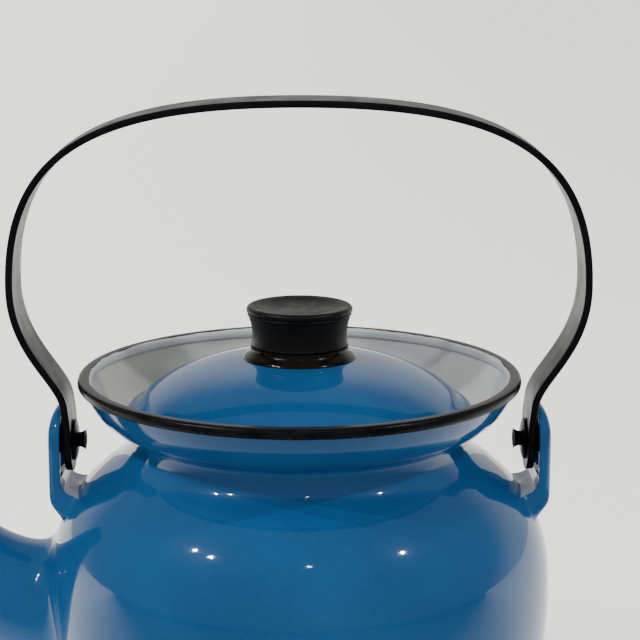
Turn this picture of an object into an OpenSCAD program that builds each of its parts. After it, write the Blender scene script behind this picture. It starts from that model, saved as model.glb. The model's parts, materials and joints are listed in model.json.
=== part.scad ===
// Enamelled steel kettle teapot with a hanging infuser cup, a recessed lid and a strap bail.
// Origin: centre of the base on the pot's axis. +Z is up, the spout points to -X,
// and the bail stands over the pot in the XZ plane.

/* [Pot] */
// Height of the rim's centre line above the base
rim_h = 130; // [126:1:134]
// Largest radius of the belly
belly_r = 77.9; // [76:0.1:79]
// Height of the widest part of the belly
belly_h = 65; // [60:1:68]
// Radius of the flat that the pot stands on
foot_r = 54; // [48:1:56]
// Outer radius of the neck between the shoulder and the collar
waist_r = 52.9; // [52.5:0.1:53.2]
// Thickness of the enamelled steel wall
wall = 1.2; // [0.8:0.1:1.4]

/* [Rim] */
// Outer radius of the rolled rim
rim_r = 68; // [67:0.5:69]
// Width of the rolled rim across its top
rim_w = 4.3; // [3.5:0.1:4.6]
// Height of the rolled rim
rim_t = 3.2; // [2.8:0.1:3.6]

/* [Spout] */
// Outer radius of the spout's root, inside the belly
spout_root_r = 24; // [21:0.5:25]
// Outer radius of the spout at its mouth
spout_tip_r = 8.5; // [8:0.5:10]
// Distance of the mouth's centre from the pot's axis
spout_reach = 128; // [122:1:132]
// Height of the mouth's centre above the base
spout_h = 116; // [110:1:120]

/* [Bail] */
// Height of the pivot axis above the base
pivot_h = 110; // [109:0.5:111]
// Distance from the pot's axis to the strap's inner face at the pivot
strap_x = 70; // [69.5:0.1:70.5]
// Width of the strap
strap_w = 19; // [16:0.5:20]
// Thickness of the strap
strap_t = 2.2; // [1.8:0.1:2.4]
// Half of the bail's widest outer span
bail_span = 88.3; // [86:0.1:92]
// Height of the bail's outer top above the base
bail_h = 215.6; // [210:0.1:222]

/* [Lugs and pivots] */
// Radius of the lug's rounded top, about the pivot
lug_r = 11.3; // [10.8:0.1:12]
// Distance from the pot's axis to the lug's outer face
lug_x = 77; // [76.6:0.1:77.4]
// Depth of the lug's cupped pressing
lug_depth = 3.8; // [3.5:0.1:4.1]
// Radius of the pivot stud's shank
stud_r = 2.3; // [2:0.05:2.6]
// Radial clearance between the stud and the strap's hole
pivot_gap = 0.06; // [0.02:0.01:0.1]
// Radius of the domed washer under the stud's flared end
washer_r = 6.5; // [6:0.1:7]

/* [Lid] */
// Radius of the lid's edge
lid_r = 53.5; // [53:0.1:54]
// Height of the lid's edge, on its upper side, above the base
lid_edge_h = 120.9; // [120.6:0.1:121.2]
// Height that the lid's dome would reach on the axis
lid_top_h = 137.3; // [136.6:0.1:138]
// Thickness of the lid's enamelled steel
lid_t = 1.1; // [0.8:0.1:1.2]

/* [Knob] */
// Radius of the knob's top
knob_r = 16.3; // [15:0.1:17]
// Height of the knob's top above the base
knob_top_h = 152.8; // [151:0.1:154]
// Radius of the skirt washer under the knob
skirt_r = 17.4; // [16.5:0.1:18]

/* [Infuser] */
// Outer radius of the infuser cup at its mouth
cup_r = 44.5; // [42:0.5:46]
// Outer radius of the infuser cup at its floor
cup_floor_r = 40; // [36:0.5:42]
// Height of the infuser's floor above the base
cup_floor_h = 62; // [55:1:70]
// Radius of the infuser's holes
hole_r = 1.1; // [0.8:0.1:1.3]
// Number of holes around the infuser's wall
wall_holes = 24; // [18:1:30]
// Number of rows of holes up the infuser's wall
wall_rows = 5; // [3:1:6]

/* [Hidden] */
$fn = 96;

blue = "steelblue";
black = "#181818";
white = "#e4e8e4";
steel = "silver";

// ---- Curves: every outline is a list of [radius, height] points ----

// Cubic curve from a to d with handles b and c; the first point is left out when it repeats
function curve(a, b, c, d, n = 10, first = 0) = [
    for (i = [first:n])
        let (t = i / n, s = 1 - t)
            s * s * s * a + 3 * s * s * t * b + 3 * s * t * t * c + t * t * t * d
];
// Arc about a centre, from angle a0 to a1
function arc(centre, r, a0, a1, n = 6) = [
    for (i = [0:n]) centre + r * [cos(a0 + (a1 - a0) * i / n), sin(a0 + (a1 - a0) * i / n)]
];
function unit(v) = v / norm(v);
function turned(v) = [-v[1], v[0]];
// The same outline moved sideways by d, to the left of its own direction
function beside(pts, d) = [
    for (i = [0:len(pts) - 1])
        let (q = pts[i] + d * turned(unit(pts[min(i + 1, len(pts) - 1)] - pts[max(i - 1, 0)])))
            [max(q[0], 0), q[1]]
];
function part_of(pts, i, j) = [for (k = [i:j]) pts[k]];
function back_to_front(pts) = [for (i = [len(pts) - 1:-1:0]) pts[i]];
// Closed section of a sheet between two outlines
function sheet(outer, inner) = concat(outer, back_to_front(inner));

// ---- Pot outline, from the middle of the base up the outside to the rim ----
n_base = 8;
n_low = 16;
n_shoulder = 20;
n_neck = 6;
n_waist = 5;
n_flare = 10;
base_edge = [65.2, 8];
low_handle = [71.6, 17.6];
bead_bottom = rim_h - rim_t / 2;
collar_top = [rim_r - rim_w / 2 + 0.45, bead_bottom];
waist = [waist_r, pivot_h + 1.9];
neck_join = waist + [4.6, -7];
cone_foot = waist + [1.1, 3.55];
cone_top = cone_foot + [4, 2.15];
base_line = concat([[0, 0]], curve([foot_r, 0], [foot_r + 5, 0], base_edge - [3.2, 4.8], base_edge, n_base));
low_line = curve(base_edge, low_handle, [belly_r, belly_h - 24], [belly_r, belly_h], n_low, 1);
shoulder_line = concat(
    curve([belly_r, belly_h], [belly_r, belly_h + 22.9], neck_join + [10.6, -8.15], neck_join, n_shoulder, 1),
    curve(neck_join, neck_join + [-2.06, 1.58], waist - [0, 3], waist, n_neck, 1)
);
waist_line = curve(waist, waist + [0, 2.2], cone_foot - [0.75, 0.4], cone_foot, n_waist, 1);
flare_line = concat(
    [cone_top],
    curve(cone_top, cone_top + [4.6, 2.5], collar_top - [2.2, 4.6], collar_top, n_flare, 1)
);
pot_outer = concat(base_line, low_line, shoulder_line, waist_line, flare_line);
pot_inner = beside(pot_outer, wall);
i_base = n_base + 1;
i_seam = i_base + n_low + 2;
i_waist = i_base + n_low + n_shoulder + n_neck;
i_rim = len(pot_outer) - 1;

module pot_section(i, j) {
    polygon(sheet(part_of(pot_outer, i, j), part_of(pot_inner, i, j)));
}
module belly_solid() {
    rotate_extrude()
        polygon(concat(part_of(pot_outer, 0, i_waist), [[0, waist[1]]]));
}

// ---- Spout: rings of points square to its curved axis ----
n_spout = 18;
spout_wall = 1.2;
spout_root = [-58, 53];
spout_mouth = [-spout_reach, spout_h];
spout_axis = curve(spout_root, spout_root + [-49, 1.5], spout_mouth + [12.5, -32.5], spout_mouth, n_spout);
// Outer radius along the spout, k = 0 at the root and 1 at the mouth
function spout_r(k) = spout_tip_r + (spout_root_r - spout_tip_r) * pow(1 - k, 1.4);
function spout_dir(i) = unit(spout_axis[min(i + 1, n_spout)] - spout_axis[max(i - 1, 0)]);
function ring(centre, dir, r, sides) = [
    for (j = [0:sides - 1])
        let (a = 360 * j / sides, side = r * cos(a))
            [centre[0] - dir[1] * side, r * sin(a), centre[1] + dir[0] * side]
];
// Solid sweep of the spout, its radius less inset, its two ends carried on by past
module spout_sweep(inset, past, sides = 36) {
    first = spout_axis[0] - past * spout_dir(0);
    last = spout_axis[n_spout] + past * spout_dir(n_spout);
    rings = concat(
        ring(first, spout_dir(0), spout_r(0) - inset, sides),
        [for (i = [1:n_spout - 1]) each ring(spout_axis[i], spout_dir(i), spout_r(i / n_spout) - inset, sides)],
        ring(last, spout_dir(n_spout), spout_tip_r - inset, sides)
    );
    n = n_spout + 1;
    walls = [
        for (i = [0:n - 2], j = [0:sides - 1])
            [i * sides + j, i * sides + (j + 1) % sides, (i + 1) * sides + (j + 1) % sides, (i + 1) * sides + j]
    ];
    root = [for (j = [sides - 1:-1:0]) j];
    mouth = [for (j = [0:sides - 1]) (n - 1) * sides + j];
    polyhedron(rings, concat(walls, [root, mouth]));
}

// ---- Pot ----
port_r = 14;
port_h = 56;
module lower_shell() {
    color(blue)
        difference() {
            rotate_extrude() pot_section(i_base, i_seam);
            translate([-belly_r, 0, port_h]) rotate([0, 90, 0]) cylinder(r = port_r, h = 24, center = true);
        }
}
module shoulder_shell() {
    color(blue) rotate_extrude() pot_section(i_seam, i_waist);
}
module base_pan() {
    color(blue) rotate_extrude() pot_section(0, i_base);
}
module collar() {
    color(blue) rotate_extrude() pot_section(i_waist, i_rim);
}
module rim_bead() {
    corner = 1.4;
    low = rim_h - rim_t / 2;
    high = rim_h + rim_t / 2;
    inner = rim_r - rim_w;
    color(black)
        difference() {
            rotate_extrude()
                polygon(concat(
                    arc([rim_r - corner, low + corner], corner, -90, 0),
                    arc([rim_r - corner, high - corner], corner, 0, 90),
                    arc([inner + corner, high - corner], corner, 90, 180),
                    arc([inner + corner, low + corner], corner, 180, 270)
                ));
            // The collar's edge sits in the underside of the roll
            rotate_extrude() pot_section(i_waist, i_rim);
        }
}
module spout() {
    color(blue)
        difference() {
            spout_sweep(0, 0);
            spout_sweep(spout_wall, 1);
            belly_solid();
        }
}

// ---- Lugs, studs and washers: drawn for the +X side and mirrored for the spout side ----
module on_spout_side() {
    mirror([1, 0, 0]) children();
}
// Face of the lug, seen along X: x is along the pot's Y and y is height above the pivot.
// It is shrunk by d.
lug_foot_half = 14.5;
lug_neck_drop = 13;
lug_foot_drop = 20;
lug_end_drop = 26;
module lug_face(d) {
    half = concat(
        arc([0, 0], lug_r - d, 90, 0, 8),
        curve([lug_r - d, -lug_neck_drop], [lug_r - d, -lug_neck_drop - 3],
              [lug_foot_half - d, -lug_foot_drop + 3], [lug_foot_half - d, -lug_foot_drop], 5),
        curve([lug_foot_half - d, -lug_foot_drop], [lug_foot_half - d, -lug_foot_drop - 4],
              [lug_foot_half - 5, -lug_end_drop], [0, -lug_end_drop], 6, 1)
    );
    n = len(half) - 2;
    polygon(concat(half, [for (i = [n:-1:1]) [-half[i][0], half[i][1]]]));
}
module lug_plate(x0, x1, d) {
    translate([x0, 0, pivot_h]) rotate([90, 0, 90]) linear_extrude(x1 - x0) lug_face(d);
}
// Side of the lug, seen along Y: its cupped back, rounded outwards, and its foot on the shoulder
lug_in_x = lug_x - lug_depth;
lug_side = concat(
    [[lug_in_x, pivot_h + lug_r + 1]],
    curve([lug_in_x + 1, pivot_h + lug_r], [lug_x - 1.4, pivot_h + lug_r - 0.4], [lug_x, pivot_h + 7],
          [lug_x, pivot_h + 3], 6),
    curve([lug_x, pivot_h - 14], [lug_x - 0.2, pivot_h - 19], [lug_x - 2.6, pivot_h - 18.2],
          [lug_x - 3.5, pivot_h - 21.7], 6),
    [[lug_x - 11, pivot_h - 26], [lug_x - 17, pivot_h - 26]],
    curve([lug_in_x - 8, pivot_h - 15.7], [lug_in_x - 2, pivot_h - 15.5], [lug_in_x, pivot_h - 13],
          [lug_in_x, pivot_h - 9.8], 6)
);
lug_sheet = 1.5;
lug_flange = 2.2;
hollow_low = 100;
module lug() {
    color(blue)
        difference() {
            intersection() {
                lug_plate(waist_r, belly_r, 0);
                rotate([90, 0, 0]) linear_extrude(4 * lug_r, center = true) polygon(lug_side);
            }
            intersection() {
                lug_plate(lug_in_x - 1, lug_x - lug_sheet, lug_flange);
                translate([0, -belly_r, hollow_low]) cube([2 * belly_r, 2 * belly_r, 60]);
            }
            belly_solid();
        }
}
stud_base_x = lug_x - lug_sheet;
strap_out_x = strap_x + strap_t;
stud_tip_x = 66.3;
flare_r = 3.2;
face_gap = 0.15;
module turned_on_pivot() {
    translate([0, 0, pivot_h]) rotate([0, 90, 0]) rotate_extrude() children();
}
module stud() {
    shoulder_r = 4.2;
    bore_r = 1.5;
    color(black)
        turned_on_pivot()
            polygon(concat(
                [
                    [0, stud_base_x],
                    [shoulder_r, stud_base_x],
                    [shoulder_r, strap_out_x + face_gap],
                    [stud_r, strap_out_x + face_gap]
                ],
                curve([stud_r, stud_tip_x + 2], [stud_r, stud_tip_x + 1.2], [2.7, stud_tip_x + 0.5],
                      [flare_r, stud_tip_x], 6),
                curve([flare_r - 0.5, stud_tip_x], [2, stud_tip_x + 0.8], [bore_r, stud_tip_x + 1.4],
                      [bore_r, stud_tip_x + 2.4], 5),
                [[0, stud_tip_x + 2.4]]
            ));
}
module domed_washer() {
    seat = strap_x - face_gap;
    edge_t = 0.5;
    hub_r = 3.2;
    color(black)
        turned_on_pivot()
            polygon(concat(
                [[stud_r + 0.01, seat], [washer_r, seat], [washer_r, seat - edge_t]],
                curve([washer_r - 0.3, seat - edge_t - 0.1], [washer_r - 1.5, seat - 1], [hub_r + 1, seat - 1.2],
                      [hub_r, seat - 1.3], 5),
                [[stud_r + 0.01, seat - 1.3]]
            ));
}

// ---- Bail: centre plane outline of the strap's outer face, from the pivot up to the crown ----
leg_top = [strap_out_x + 0.75, rim_h - 8];
wide_h = 159;
bail_outer = concat(
    [[strap_out_x, pivot_h - strap_w / 2], [strap_out_x, pivot_h + 3]],
    curve([strap_out_x + 0.1, pivot_h + 6], [strap_out_x + 0.3, pivot_h + 9], leg_top - [0.2, 2], leg_top, 3),
    curve(leg_top, leg_top + [0.7, 8], [bail_span, wide_h - 20], [bail_span, wide_h], 16, 1),
    curve([bail_span, wide_h], [bail_span, bail_h - 12], [bail_span * 0.655, bail_h], [0, bail_h], 28, 1)
);
bail_inner = beside(bail_outer, strap_t);
module bail_half() {
    rotate([90, 0, 0])
        linear_extrude(strap_w, center = true)
            polygon(sheet(bail_outer, bail_inner));
}
module bail_strap() {
    end_h = pivot_h - strap_w / 2;
    color(black)
        difference() {
            union() {
                bail_half();
                mirror([1, 0, 0]) bail_half();
            }
            // Round both ends about the pivot
            difference() {
                translate([-belly_r, -strap_w, end_h - 1]) cube([2 * belly_r, 2 * strap_w, strap_w / 2 + 1]);
                translate([0, 0, pivot_h])
                    rotate([0, 90, 0]) cylinder(r = strap_w / 2, h = 3 * belly_r, center = true);
            }
            translate([0, 0, pivot_h])
                rotate([0, 90, 0]) cylinder(r = stud_r + pivot_gap, h = 3 * belly_r, center = true);
        }
}

// ---- Infuser: a pierced cup whose flared rim rests on the collar's cone ----
cup_t = 0.8;
seat_gap = 0.15;
cone_slope = (cone_top[1] - cone_foot[1]) / (cone_top[0] - cone_foot[0]);
along_cone = sqrt(1 + cone_slope * cone_slope);
// Height above the base, at radius r, of a line that lies d above the collar's outer cone
function above_cone(r, d) = cone_foot[1] + (r - cone_foot[0]) * cone_slope + d * along_cone;
rim_low_d = wall + seat_gap;
rim_high_d = rim_low_d + 1;
rim_out_r = lid_r - 0.6;
cup_top_h = above_cone(cup_r, rim_low_d) - 1;
module infuser_wall() {
    pitch = (cup_top_h - cup_floor_h - 14) / wall_rows;
    color(white)
        difference() {
            rotate_extrude()
                polygon([
                    [cup_floor_r, cup_floor_h],
                    [cup_r, cup_top_h],
                    [cup_r - cup_t, cup_top_h],
                    [cup_floor_r - cup_t, cup_floor_h]
                ]);
            for (row = [1:wall_rows], i = [0:wall_holes - 1])
                rotate([0, 0, (i + row / 2) * 360 / wall_holes])
                    translate([cup_r - 3, 0, cup_floor_h + row * pitch])
                        rotate([0, 90, 0]) cylinder(r = hole_r, h = 12, center = true, $fn = 24);
        }
}
module infuser_floor() {
    rings = 4;
    gap = cup_floor_r / (rings + 1);
    color(white)
        difference() {
            translate([0, 0, cup_floor_h - cup_t]) cylinder(r = cup_floor_r, h = cup_t);
            for (ring = [1:rings], i = [0:6 * ring - 1])
                rotate([0, 0, i * 60 / ring])
                    translate([ring * gap, 0, cup_floor_h - 2]) cylinder(r = hole_r, h = 4, $fn = 24);
            translate([0, 0, cup_floor_h - 2]) cylinder(r = hole_r, h = 4, $fn = 24);
        }
}
module infuser_rim() {
    edge = (rim_high_d - rim_low_d) / 2;
    edge_r = rim_out_r - edge;
    tilt = atan(cone_slope);
    color(white)
        rotate_extrude()
            polygon(concat(
                [[cup_r - cup_t, cup_top_h], [cup_r, cup_top_h]],
                [[cup_r + 1.6, above_cone(cup_r + 1.6, rim_low_d)]],
                arc([edge_r, above_cone(edge_r, rim_low_d + edge)], edge, tilt - 90, tilt + 90, 8),
                [[cup_r + 1, above_cone(cup_r + 1, rim_high_d)]],
                [[cup_r - cup_t, cup_top_h + 1]]
            ));
}

// ---- Lid ----
lid_hem_h = above_cone(lid_r - 0.6, rim_high_d) + seat_gap;
dome_foot = [lid_r - 7.4, lid_edge_h + 5.45];
lid_outer = concat(
    [[lid_r, lid_hem_h]],
    curve([lid_r, lid_edge_h - 1.5], [lid_r, lid_edge_h - 0.5], [lid_r - 0.7, lid_edge_h + 0.2],
          [lid_r - 1.7, lid_edge_h + 0.4], 5),
    curve([lid_r - 1.7, lid_edge_h + 0.4], [lid_r - 4, lid_edge_h + 0.9], dome_foot + [1.9, -1.3],
          dome_foot, 8, 1),
    curve(dome_foot, dome_foot + [-11.1, 8.1], [18, lid_top_h], [0, lid_top_h], 18, 1)
);
lid_inner = beside(lid_outer, lid_t);
screw_hole_r = 2.1;
module lid_shell() {
    color(blue)
        difference() {
            rotate_extrude() polygon(sheet(lid_outer, lid_inner));
            translate([0, 0, lid_top_h - 6]) cylinder(r = screw_hole_r, h = 12);
        }
}
module lid_ring() {
    ring_r = 42;
    ring_t = 0.9;
    color(white)
        difference() {
            rotate_extrude()
                polygon([[ring_r - ring_t, 114], [ring_r, 114], [ring_r, 135], [ring_r - ring_t, 135]]);
            rotate_extrude()
                polygon(concat(lid_inner, [[0, 150], [90, 150], [90, lid_hem_h]]));
        }
}

// ---- Knob ----
knob_foot_h = 140;
dish_depth = 2.2;
lip = 1.2;
screw_r = 2;
insert_r = 3.4;
insert_low = 137.6;
insert_high = 148;
module knob() {
    waist_in = 0.9;
    foot_r_knob = knob_r - 1.4;
    color(black)
        difference() {
            rotate_extrude()
                polygon(concat(
                    [[0, knob_foot_h], [foot_r_knob - 0.5, knob_foot_h]],
                    curve([foot_r_knob, knob_foot_h + 0.5], [foot_r_knob - waist_in, knob_foot_h + 3],
                          [knob_r - 1.5, knob_top_h - 6], [knob_r - 0.6, knob_top_h - 3.4], 8),
                    arc([knob_r - lip, knob_top_h - lip - 0.4], lip, -40, 110, 8),
                    curve([knob_r - 3, knob_top_h - 0.7], [knob_r - 7, knob_top_h - dish_depth],
                          [4, knob_top_h - dish_depth], [0, knob_top_h - dish_depth], 8)
                ));
            translate([0, 0, knob_foot_h - 1]) cylinder(r = insert_r, h = insert_high - knob_foot_h + 1);
        }
}
module knob_skirt() {
    color(black)
        difference() {
            rotate_extrude()
                polygon(concat(
                    [[insert_r + 0.1, knob_foot_h], [knob_r - 1.3, knob_foot_h]],
                    curve([knob_r - 1.3, knob_foot_h - 0.6], [knob_r - 1.2, knob_foot_h - 2],
                          [skirt_r - 0.4, 137.6], [skirt_r, 136.4], 6),
                    [[skirt_r, 130], [insert_r + 0.1, 130]]
                ));
            rotate_extrude() polygon(concat(lid_outer, [[0, 100], [lid_r, 100]]));
        }
}
module knob_insert() {
    color(steel)
        difference() {
            translate([0, 0, insert_low]) cylinder(r = insert_r, h = insert_high - insert_low);
            translate([0, 0, insert_low - 1]) cylinder(r = screw_r, h = insert_high - insert_low - 1);
        }
}
module knob_washer() {
    color(steel)
        difference() {
            translate([0, 0, 134.9]) cylinder(r = 6, h = 1);
            translate([0, 0, 134]) cylinder(r = screw_hole_r, h = 3);
        }
}
module knob_screw() {
    color(steel)
        union() {
            translate([0, 0, 132.6]) cylinder(r = 3.8, h = 2.3);
            translate([0, 0, 134]) cylinder(r = screw_r, h = 11);
        }
}

base_pan();
lower_shell();
shoulder_shell();
collar();
rim_bead();
spout();
on_spout_side() lug();  // lug_spout_side
lug();  // lug_back_side
on_spout_side() stud();  // stud_spout_side
stud();  // stud_back_side
on_spout_side() domed_washer();  // washer_spout_side
domed_washer();  // washer_back_side
bail_strap();
infuser_wall();
infuser_floor();
infuser_rim();
lid_shell();
lid_ring();
knob();
knob_skirt();
knob_insert();
knob_screw();
knob_washer();
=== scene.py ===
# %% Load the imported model
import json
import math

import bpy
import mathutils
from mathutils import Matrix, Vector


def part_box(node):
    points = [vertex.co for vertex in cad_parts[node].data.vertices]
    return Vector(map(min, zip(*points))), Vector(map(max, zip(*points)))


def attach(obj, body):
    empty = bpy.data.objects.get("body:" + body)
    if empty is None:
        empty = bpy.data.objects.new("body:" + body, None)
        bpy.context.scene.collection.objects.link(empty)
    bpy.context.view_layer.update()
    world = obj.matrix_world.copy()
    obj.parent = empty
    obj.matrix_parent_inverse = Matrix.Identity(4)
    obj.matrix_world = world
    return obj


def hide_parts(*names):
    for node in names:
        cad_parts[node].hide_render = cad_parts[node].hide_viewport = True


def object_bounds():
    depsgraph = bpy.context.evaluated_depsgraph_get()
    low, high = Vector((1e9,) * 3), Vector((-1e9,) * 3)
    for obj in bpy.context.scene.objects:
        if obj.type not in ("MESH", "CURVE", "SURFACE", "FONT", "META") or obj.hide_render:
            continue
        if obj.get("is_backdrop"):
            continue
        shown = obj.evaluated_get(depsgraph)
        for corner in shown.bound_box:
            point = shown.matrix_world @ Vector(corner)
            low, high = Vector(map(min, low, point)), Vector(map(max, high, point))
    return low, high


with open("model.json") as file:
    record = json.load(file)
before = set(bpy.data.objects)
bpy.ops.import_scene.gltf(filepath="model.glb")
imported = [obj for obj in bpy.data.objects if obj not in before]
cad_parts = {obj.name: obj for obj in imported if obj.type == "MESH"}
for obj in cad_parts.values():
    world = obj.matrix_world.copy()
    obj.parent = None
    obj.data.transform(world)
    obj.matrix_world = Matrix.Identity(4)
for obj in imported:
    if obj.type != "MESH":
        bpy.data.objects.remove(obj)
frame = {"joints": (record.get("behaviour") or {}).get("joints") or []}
cad_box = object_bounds()

# %% [markdown]
# # An enamelled teapot with an infuser
# The pot is pressed steel under vitreous enamel: a thin coat of glass, melted on in a kiln. It gives deep
# colour under a clear, hard gloss, with a slight ripple. The frame that was just loaded holds every solid at
# its real place and size. This lesson dresses it: fine meshes stand in for the plain solids, and each gets a
# material made of nodes. Lengths below are in millimetres, times MM where Blender needs metres.

MM = 0.001
scene = bpy.context.scene
tau = 2 * math.pi


def linear(code):
    """The linear colour, with alpha, of an sRGB hex value such as "#1b6ea5"."""
    parts = [int(code[i:i + 2], 16) / 255 for i in (1, 3, 5)]
    return [p / 12.92 if p <= 0.04045 else ((p + 0.055) / 1.055) ** 2.4 for p in parts] + [1.0]


def add(tree, kind, inputs=None, **settings):
    """Adds a node to a tree, sets its settings, and links or sets its inputs by name or number. A node
    given as an input stands for its first output."""
    node = tree.nodes.new(kind)
    for name, value in settings.items():
        setattr(node, name, value)
    for key, value in (inputs or {}).items():
        if isinstance(value, bpy.types.Node):
            value = value.outputs[0]
        if isinstance(value, bpy.types.NodeSocket):
            tree.links.new(value, node.inputs[key])
        else:
            node.inputs[key].default_value = value
    return node


# %% Tools for shader trees
def calc(tree, operation, *values):
    """One step of arithmetic on numbers or sockets."""
    return add(tree, "ShaderNodeMath", dict(enumerate(values)), operation=operation).outputs[0]


def ramp(tree, value, low, high, to_low=0.0, to_high=1.0):
    """A value mapped from low..high to to_low..to_high, smooth and clamped."""
    return add(tree, "ShaderNodeMapRange", {
        "Value": value, "From Min": low, "From Max": high, "To Min": to_low, "To Max": to_high,
    }, interpolation_type="SMOOTHSTEP").outputs["Result"]


def both(tree, a, b, operation="MULTIPLY"):
    return calc(tree, operation, a, b)


def blend(tree, factor, under, over):
    """The colour under, covered by the colour over as far as factor says."""
    mix = add(tree, "ShaderNodeMix", {0: factor}, data_type="RGBA")
    for number, value in ((6, under), (7, over)):
        if isinstance(value, str):
            mix.inputs[number].default_value = linear(value)
        else:
            tree.links.new(value, mix.inputs[number])
    return mix.outputs[2]


def place_m(tree):
    """Where a point is on the object, in metres."""
    return add(tree, "ShaderNodeTexCoord").outputs["Object"]


def axes(tree):
    """X, Y and height of a point on the object."""
    return add(tree, "ShaderNodeSeparateXYZ", {0: place_m(tree)}).outputs


def new_material(name):
    material = bpy.data.materials.new(name)
    material.use_nodes = True
    return material.node_tree, material.node_tree.nodes["Principled BSDF"], material


def wire(tree, shader, **sockets):
    """Sets or links the shader's own sockets; an underscore in a name stands for a space."""
    for name, value in sockets.items():
        socket = shader.inputs[name.replace("_", " ")]
        if isinstance(value, bpy.types.NodeSocket):
            tree.links.new(value, socket)
        else:
            socket.default_value = linear(value) if isinstance(value, str) else value


# %% [markdown]
# ## Driving sizes
# The frame's boxes give the sizes that the solids already have. What a box can't say, such as how high the
# widest part of the belly is, is a named value here, the same as in the part's own source.

# %% Sizes from the frame
def corner(node, which, axis):
    """A coordinate of a solid's box, in millimetres; which is 0 for its low corner and 1 for its high one."""
    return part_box(node)[which][axis] / MM


RIM_R = 68.0
RIM_W = 4.3
RIM_T = corner("rim_bead", 1, 2) - corner("rim_bead", 0, 2)
RIM_H = corner("rim_bead", 1, 2) - RIM_T / 2
BELLY_R = 77.9
BELLY_H = 65.0
FOOT_R = 54.0
WAIST_R = 52.9
WALL = 1.2
joint_list = {j["name"]: j for j in frame["joints"]}
PIVOT_H = joint_list["bail_swing"]["pos_m"][2] / MM
STRAP_T = 2.2
STRAP_W = corner("bail_strap", 1, 1) - corner("bail_strap", 0, 1)
BAIL_H = corner("bail_strap", 1, 2)
BAIL_SPAN = corner("bail_strap", 1, 0)
STRAP_X = 70.0
LID_R = 53.5
LID_EDGE_H = 120.9
LID_TOP_H = corner("lid_shell", 1, 2)
LID_T = 1.1
print("rim", RIM_H, RIM_T, "pivot", PIVOT_H, "bail", BAIL_SPAN, BAIL_H, "lid top", LID_TOP_H)

# %% [markdown]
# ## The camera
# A long lens on a tripod a little over half a metre away, looking slightly down on the lid.

# %% Camera
LENS = 103.8
CAMERA_BACK = 552.9
CAMERA_RISE = 136.0
PITCH = math.radians(12.08)
YAW = math.radians(0.65)
camera_data = bpy.data.cameras.new("camera")
camera_data.lens = LENS
camera_data.clip_start = 0.01
camera_data.clip_end = 100
camera = bpy.data.objects.new("camera", camera_data)
scene.collection.objects.link(camera)
camera.location = Vector((0, -CAMERA_BACK, RIM_H + CAMERA_RISE)) * MM
camera.rotation_euler = (math.pi / 2 - PITCH, 0, -YAW)
scene.camera = camera

# %% [markdown]
# ## Floor and light
# A wide pale floor under a pale sweep, so the background lights the pot from behind. A big soft lamp in front
# fills the shadows; it is kept out of reflections, where it would show as a rectangle. Four small lamps show
# as bright points in the glaze.

# %% Floor and lights
def mesh_piece(name, points, faces, materials=()):
    """A mesh object with its points in metres, smooth all over."""
    mesh = bpy.data.meshes.new(name)
    mesh.from_pydata([tuple(p) for p in points], [], faces)
    mesh.shade_smooth()
    for material in materials:
        mesh.materials.append(material)
    piece = bpy.data.objects.new(name, mesh)
    scene.collection.objects.link(piece)
    return piece


def studio_floor():
    """Paper whose glow is painted light, though no lamp is in it: it glows behind the pot, more on the left,
    and its colour is painted darker in front of it as painted shade.
    """
    tree, shader, material = new_material("paper_painted_glow_and_shade")
    x, y, _ = axes(tree)
    # Painted light and shade: this mask makes the paper glow behind the pot and paints it darker in front
    back = ramp(tree, y, -0.2, 0.13)
    along = add(tree, "ShaderNodeMapRange", {
        "Value": x, "From Min": -0.5, "From Max": 0.5, "To Min": GLOW_LEFT, "To Max": GLOW_RIGHT})
    wire(tree, shader, Base_Color=blend(tree, back, PAPER_FRONT_SHADE, PAPER_BACK),
         Emission_Strength=both(tree, back, along), Emission_Color="#fffdf8", Roughness=0.9)
    return material


FLOOR_R = 14.0
PAPER_BACK, PAPER_FRONT_SHADE = "#dcdad6", "#959491"
GLOW_LEFT, GLOW_RIGHT = 1.75, 1.3
floor_ring = [(FLOOR_R * math.cos(tau * i / 64), FLOOR_R * math.sin(tau * i / 64), 0) for i in range(64)]
mesh_piece("floor", floor_ring, [tuple(range(64))], [studio_floor()])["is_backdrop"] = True


def studio_world():
    """A pale sweep behind and beside the pot; the room in front of it and above it is dimmer."""
    world = bpy.data.worlds.new("studio")
    world.use_nodes = True
    tree = world.node_tree
    way = add(tree, "ShaderNodeTexCoord").outputs["Generated"]
    x, y, z = add(tree, "ShaderNodeSeparateXYZ", {0: way}).outputs
    facing = y
    for value, weight, plus in ((z, -HEIGHT_TILT, -0.08), (x, SIDE_TILT, 0.0)):
        facing = calc(tree, "ADD", facing, calc(tree, "MULTIPLY_ADD", value, weight, plus))
    sky = tree.nodes["Background"]
    sky.inputs["Color"].default_value = linear("#f2f0ec")
    tree.links.new(ramp(tree, facing, 0.0, 0.45, ROOM, SWEEP), sky.inputs["Strength"])
    return world


ROOM, SWEEP = 0.3, 0.95
SIDE_TILT, HEIGHT_TILT = 0.12, 0.8
scene.world = studio_world()


def area_light(name, azimuth, elevation, distance, width, height, watts):
    """A lamp that points at the neck from a distance in metres; azimuth 0 is in front, 90 on the right."""
    data = bpy.data.lights.new(name, "AREA")
    data.shape = "RECTANGLE"
    data.size, data.size_y = width, height
    data.energy = watts
    lamp = bpy.data.objects.new(name, data)
    a, e = math.radians(azimuth), math.radians(elevation)
    way = Vector((math.sin(a) * math.cos(e), -math.cos(a) * math.cos(e), math.sin(e)))
    lamp.location = Vector(NECK) + distance * way
    lamp.rotation_euler = (-way).to_track_quat("-Z", "Y").to_euler()
    scene.collection.objects.link(lamp)
    return lamp


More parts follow.
